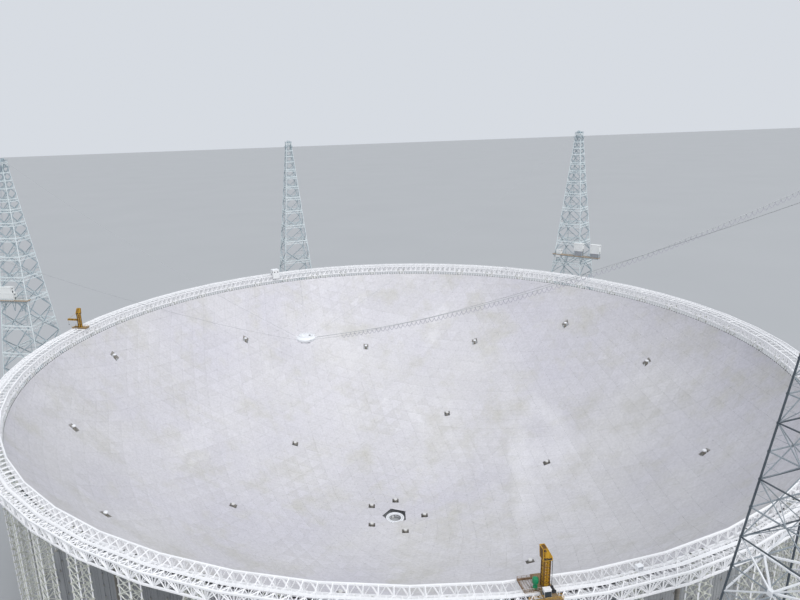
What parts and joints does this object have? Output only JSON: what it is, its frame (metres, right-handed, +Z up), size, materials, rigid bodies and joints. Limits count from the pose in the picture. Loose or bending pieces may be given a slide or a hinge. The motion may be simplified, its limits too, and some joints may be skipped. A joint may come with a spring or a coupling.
{
  "type": "radio telescope dish, 1:20 scale model",
  "caption": "Fixed spherical dish in a ring girder on columns, with six lattice towers whose cables hold a feed cabin over it; 1:20 scale model.",
  "frame": {"origin": "centre of the footprint on the floor, on the dish's axis", "axes": "+Z up along the dish's axis, +X to the right of the usual viewing side, which is -Y"},
  "size_m": [32.8345, 31.5645, 14.1158],
  "materials": {
    "reflector_panels": "matt perforated aluminium panels",
    "ring_paint": "satin white paint",
    "tower_steel": "weathered pale blue-grey coating",
    "cable_steel": "stranded steel",
    "white_paint": "satin white paint",
    "concrete": "bare concrete, white head",
    "yellow_paint": "worn yellow paint",
    "deck_boards": "weathered boards",
    "green_paint": "gloss green paint"
  },
  "bodies": {
    "root": {"reflector_lower_1": "reflector_panels", "reflector_upper_1": "reflector_panels", "reflector_lower_2": "reflector_panels", "reflector_upper_2": "reflector_panels", "reflector_lower_3": "reflector_panels", "reflector_upper_3": "reflector_panels", "reflector_lower_4": "reflector_panels", "reflector_upper_4": "reflector_panels", "reflector_lower_5": "reflector_panels", "reflector_upper_5": "reflector_panels", "ring_sector_1": "ring_paint", "ring_sector_2": "ring_paint", "ring_sector_3": "ring_paint", "ring_sector_4": "ring_paint", "ring_sector_5": "ring_paint", "cable_tower_1": "tower_steel", "support_cable_1": "cable_steel", "cable_tower_2": "tower_steel", "support_cable_2": "cable_steel", "cable_tower_3": "tower_steel", "support_cable_3": "cable_steel", "cable_tower_4": "tower_steel", "support_cable_4": "cable_steel", "cable_tower_5": "tower_steel", "support_cable_5": "cable_steel", "cable_tower_6": "tower_steel", "support_cable_6": "cable_steel", "feed_cabin": "white_paint", "docking_ring": "white_paint", "inner_pillar_1": "concrete", "inner_pillar_2": "concrete", "inner_pillar_3": "concrete", "inner_pillar_4": "concrete", "inner_pillar_5": "concrete", "middle_pillar_1": "concrete", "middle_pillar_2": "concrete", "middle_pillar_3": "concrete", "middle_pillar_4": "concrete", "middle_pillar_5": "concrete", "middle_pillar_6": "concrete", "outer_pillar_1": "concrete", "outer_pillar_2": "concrete", "outer_pillar_3": "concrete", "outer_pillar_4": "concrete", "outer_pillar_5": "concrete", "outer_pillar_6": "concrete", "outer_pillar_7": "concrete", "outer_pillar_8": "concrete", "outer_pillar_9": "concrete", "outer_pillar_10": "concrete", "outer_pillar_11": "concrete", "outer_pillar_12": "concrete", "ring_cabin": "white_paint", "hoist_deck_1": "deck_boards", "hoist_mast_1": "yellow_paint", "hoist_cab_1": "white_paint", "hoist_tank_1": "green_paint", "hoist_deck_2": "deck_boards", "hoist_mast_2": "yellow_paint"}
  },
  "joints": []
}
